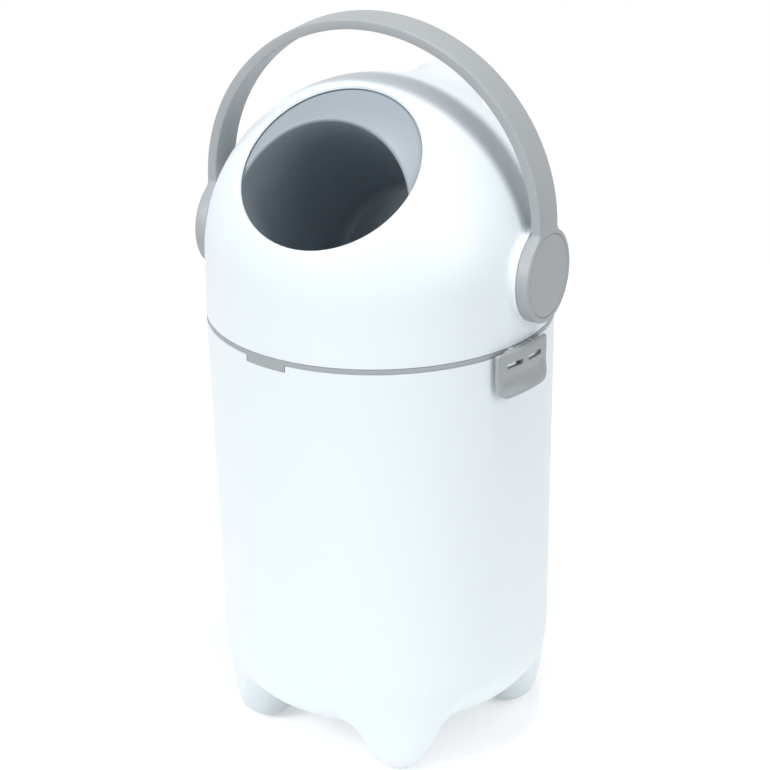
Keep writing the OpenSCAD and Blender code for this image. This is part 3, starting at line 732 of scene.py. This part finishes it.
def make_flap(name, mirrored):
    """A curved face made thick, cut to its outline, with its knuckle, slots and room for the ears."""
    bpy.ops.object.select_all(action="DESELECT")
    bpy.ops.mesh.primitive_grid_add(x_subdivisions=72, y_subdivisions=44, size=1)
    flap = bpy.context.active_object
    height = flap_top - flap_low + 0.001
    for vertex in flap.data.vertices:
        u, z = vertex.co.x * (flap_w + 6), (flap_top + flap_low) / 2 + vertex.co.y * height
        reach, angle = face_reach(u, z), u / flap_face
        vertex.co = (reach * math.cos(angle) * MM, reach * math.sin(angle) * MM, z * MM)
    only(flap)
    back = flap.modifiers.new("back", "SOLIDIFY")
    back.thickness = flap_t * MM
    back.offset = -1
    bpy.ops.object.modifier_apply(modifier="back")
    only(flap)
    bpy.ops.object.mode_set(mode="EDIT")
    bpy.ops.mesh.select_all(action="SELECT")
    bpy.ops.mesh.normals_make_consistent(inside=False)
    bpy.ops.object.mode_set(mode="OBJECT")
    half, big, small = flap_w / 2, big_corner, small_corner
    shape = arc((-half + big, flap_low + big), big, 180, 270, 10)
    shape += arc((half - big, flap_low + big), big, 270, 360, 10)
    shape += arc((half - small, flap_top - small), small, 0, 90, 8)
    shape += arc((-half + small, flap_top - small), small, 90, 180, 8)
    frame_cut = extruded("frame_cut", shape, -cut_out, -cut_in)
    frame_cut.data.transform(Matrix.Rotation(math.pi / 2, 4, "Z"))
    combine(flap, [frame_cut], "INTERSECT")
    cuts = []
    for at in (-slot_x, slot_x):
        low = (cut_in, at - slot_w / 2, slot_z - slot_h / 2)
        high = (cut_out, at + slot_w / 2, slot_z + slot_h / 2)
        cuts.append(block(low, high, slot_corner))
    barrel = hinge_rod(knuckle_r, knuckle_w)
    web = block((hinge_r + 0.1, -knuckle_w / 2, web_low), (web_out, knuckle_w / 2, web_top))
    combine(flap, [barrel, web], "UNION")
    cuts.append(hinge_rod(pin_r, knuckle_w + 0.4, sides=32))
    for at in (-ear_y, ear_y):
        low = (hinge_r - 3, at - room_half, hinge_z + 0.4)
        high = (room_out, at + room_half, hinge_z + 4)
        cuts += [hinge_rod(room_r, room_w, at), block(low, high)]
    combine(flap, cuts, "DIFFERENCE")
    only(flap)
    soft = flap.modifiers.new("soft", "BEVEL")
    soft.width, soft.segments = edge_soft * MM, 2
    soft.limit_method, soft.angle_limit = "ANGLE", math.radians(50)
    bpy.ops.object.modifier_apply(modifier="soft")
    if mirrored:
        flap.data.transform(Matrix.Diagonal((-1, 1, 1, 1)))
        flap.data.flip_normals()
    flap.data.transform(Matrix.Rotation(math.radians(bucket_turn), 4, "Z"))
    fitted(flap, name, name, grey_plastic, 40)


make_flap("flap_right", False)
make_flap("flap_left", True)


# ---- Inner pieces ------------------------------------------------------------------------
# The drum's rear half, the low-friction bushes and stub axles, the soft wiping rings and the
# plated screws and pins keep their CAD shapes and get their real finishes.

def dress(nodes, material):
    """Gives CAD nodes that keep their shape a finish of their own."""
    for name in nodes:
        piece = frame["nodes"][name]
        piece.data.materials.clear()
        piece.data.materials.append(material)


def worked_surface(name, colour, tone, roughness, scale, squash, depth, metallic=0.0):
    """Rubber or plated steel: stretched noise for its streaks or its matt bloom."""
    material = bpy.data.materials.new(name)
    material.use_nodes = True
    nodes, link = material.node_tree.nodes, material.node_tree.links.new
    shader = nodes["Principled BSDF"]
    place, stretch = nodes.new("ShaderNodeTexCoord"), nodes.new("ShaderNodeMapping")
    noise, spread = nodes.new("ShaderNodeTexNoise"), nodes.new("ShaderNodeMapRange")
    mix, bump = nodes.new("ShaderNodeMix"), nodes.new("ShaderNodeBump")
    stretch.inputs["Scale"].default_value = squash
    noise.inputs["Scale"].default_value = scale
    noise.inputs["Detail"].default_value = 4
    spread.inputs["To Min"].default_value = roughness - 0.08
    spread.inputs["To Max"].default_value = roughness + 0.08
    mix.data_type = "RGBA"
    mix.inputs["A"].default_value = (*colour, 1)
    mix.inputs["B"].default_value = (*tone, 1)
    bump.inputs["Strength"].default_value = 0.5
    bump.inputs["Distance"].default_value = depth
    link(place.outputs["Object"], stretch.inputs["Vector"])
    link(stretch.outputs["Vector"], noise.inputs["Vector"])
    link(noise.outputs["Fac"], mix.inputs["Factor"])
    link(noise.outputs["Fac"], spread.inputs["Value"])
    link(noise.outputs["Fac"], bump.inputs["Height"])
    link(mix.outputs["Result"], shader.inputs["Base Color"])
    link(spread.outputs["Result"], shader.inputs["Roughness"])
    link(bump.outputs["Normal"], shader.inputs["Normal"])
    shader.inputs["Metallic"].default_value = metallic
    return material


soft_seal = worked_surface("soft_seal", (0.05, 0.055, 0.06), (0.09, 0.095, 0.1), 0.7, 500, (1, 1, 1), 0.00004)
screw_steel = worked_surface("screw_steel", (0.52, 0.53, 0.54), (0.40, 0.41, 0.43),
                             0.35, 300, (1, 6, 1), 0.00002, 1.0)
bush_plastic = plastic("bush_plastic", (0.66, 0.67, 0.66), (0.60, 0.61, 0.60),
                       0.5, 0.5, 0.08, 900, 0.00003)
dress(["rotor_back"], drum_plastic)
dress(["rim_seal", "rotor_seal", "opening_seal"], soft_seal)
dress(["dome_screws", "rotor_screws", "hub_screw_left", "hub_screw_right",
       "flap_pin_left", "flap_pin_right"], screw_steel)
dress(["bush_left", "bush_right", "trunnion_left", "trunnion_right"], bush_plastic)


# ---- Studio ------------------------------------------------------------------------------
# A pale floor under a white surround, a small overhead lamp that drops the handle's shadow on
# the dome, and two wide soft lamps, one in front to the left and one to the right.


def seen_directly(nodes, link):
    """1 for rays from the camera and those that glossy or clear surfaces send, otherwise 0."""
    rays = nodes.new("ShaderNodeLightPath")
    either, any_of_three = nodes.new("ShaderNodeMath"), nodes.new("ShaderNodeMath")
    either.operation = any_of_three.operation = "MAXIMUM"
    link(rays.outputs["Is Camera Ray"], either.inputs[0])
    link(rays.outputs["Is Glossy Ray"], either.inputs[1])
    link(either.outputs[0], any_of_three.inputs[0])
    link(rays.outputs["Is Transmission Ray"], any_of_three.inputs[1])
    return any_of_three.outputs[0]


bpy.ops.object.select_all(action="DESELECT")
bpy.ops.mesh.primitive_circle_add(vertices=96, radius=1.1, fill_type="NGON")
floor = bpy.context.active_object
floor.name = "floor"
paper = bpy.data.materials.new("paper")
paper.use_nodes = True
nodes, link = paper.node_tree.nodes, paper.node_tree.links.new
shader = nodes["Principled BSDF"]
shader.inputs["Base Color"].default_value = (0.93, 0.93, 0.93, 1)
shader.inputs["Roughness"].default_value = 0.9
# Rays from the camera, and those that glossy or clear surfaces send, see the paper a little lifted.
shader.inputs["Emission Color"].default_value = (1, 1, 1, 1)
lift = nodes.new("ShaderNodeMath")
lift.operation = "MULTIPLY"
paper_lift = 0.38
lift.inputs[1].default_value = paper_lift
link(seen_directly(nodes, link), lift.inputs[0])
link(lift.outputs[0], shader.inputs["Emission Strength"])
floor.data.materials.append(paper)

world = bpy.data.worlds.new("surround")
bpy.context.scene.world = world
world.use_nodes = True
nodes, link = world.node_tree.nodes, world.node_tree.links.new
nodes.clear()
seen, soft = nodes.new("ShaderNodeBackground"), nodes.new("ShaderNodeBackground")
pick, out = nodes.new("ShaderNodeMixShader"), nodes.new("ShaderNodeOutputWorld")
seen.inputs["Color"].default_value = (1, 1, 1, 1)
soft.inputs["Color"].default_value = (0.93, 0.97, 1.0, 1)
soft.inputs["Strength"].default_value = 0.37
link(seen_directly(nodes, link), pick.inputs["Fac"])
link(soft.outputs[0], pick.inputs[1])
link(seen.outputs[0], pick.inputs[2])
link(pick.outputs[0], out.inputs["Surface"])


def lamp(name, place, target, size, power):
    """A rectangular lamp at a place, turned to a target; its size in metres, its power in watts."""
    light = bpy.data.lights.new(name, "AREA")
    light.shape = "RECTANGLE"
    light.size, light.size_y = size
    light.energy = power
    holder = bpy.data.objects.new(name, light)
    bpy.context.collection.objects.link(holder)
    holder.location = place
    holder.rotation_euler = (Vector(target) - Vector(place)).to_track_quat("-Z", "Y").to_euler()


lamp("overhead", (0.25, -0.22, 2.2), (0, 0, 0.5), (0.45, 0.35), 17)
lamp("front_left", (-0.9, -2.1, 1.6), (0, 0, 0.3), (0.9, 1.0), 32)
lamp("side_right", (2.3, -0.5, 1.2), (0, 0, 0.3), (1.2, 1.6), 18)

camera = bpy.data.cameras.new("camera")
camera.lens, camera.sensor_width = 137.17, 36
camera.shift_x, camera.shift_y = 0.00406, -0.01169
eye = bpy.data.objects.new("camera", camera)
bpy.context.collection.objects.link(eye)
azimuth, elevation, roll = math.radians(29.31), math.radians(22.71), math.radians(-1.09)
aim_at, distance = Vector((0, 0, 0.292)), 2.3
flat = math.cos(elevation)
back = Vector((math.sin(azimuth) * flat, -math.cos(azimuth) * flat, math.sin(elevation)))
right = Vector((math.cos(azimuth), math.sin(azimuth), 0))
up = back.cross(right)
level = math.cos(roll) * right + math.sin(roll) * up
upright = -math.sin(roll) * right + math.cos(roll) * up
turn = Matrix((level, upright, back)).transposed().to_4x4()
eye.matrix_world = Matrix.Translation(aim_at + back * distance) @ turn
bpy.context.scene.camera = eye
bpy.context.scene.view_settings.view_transform = "Standard"
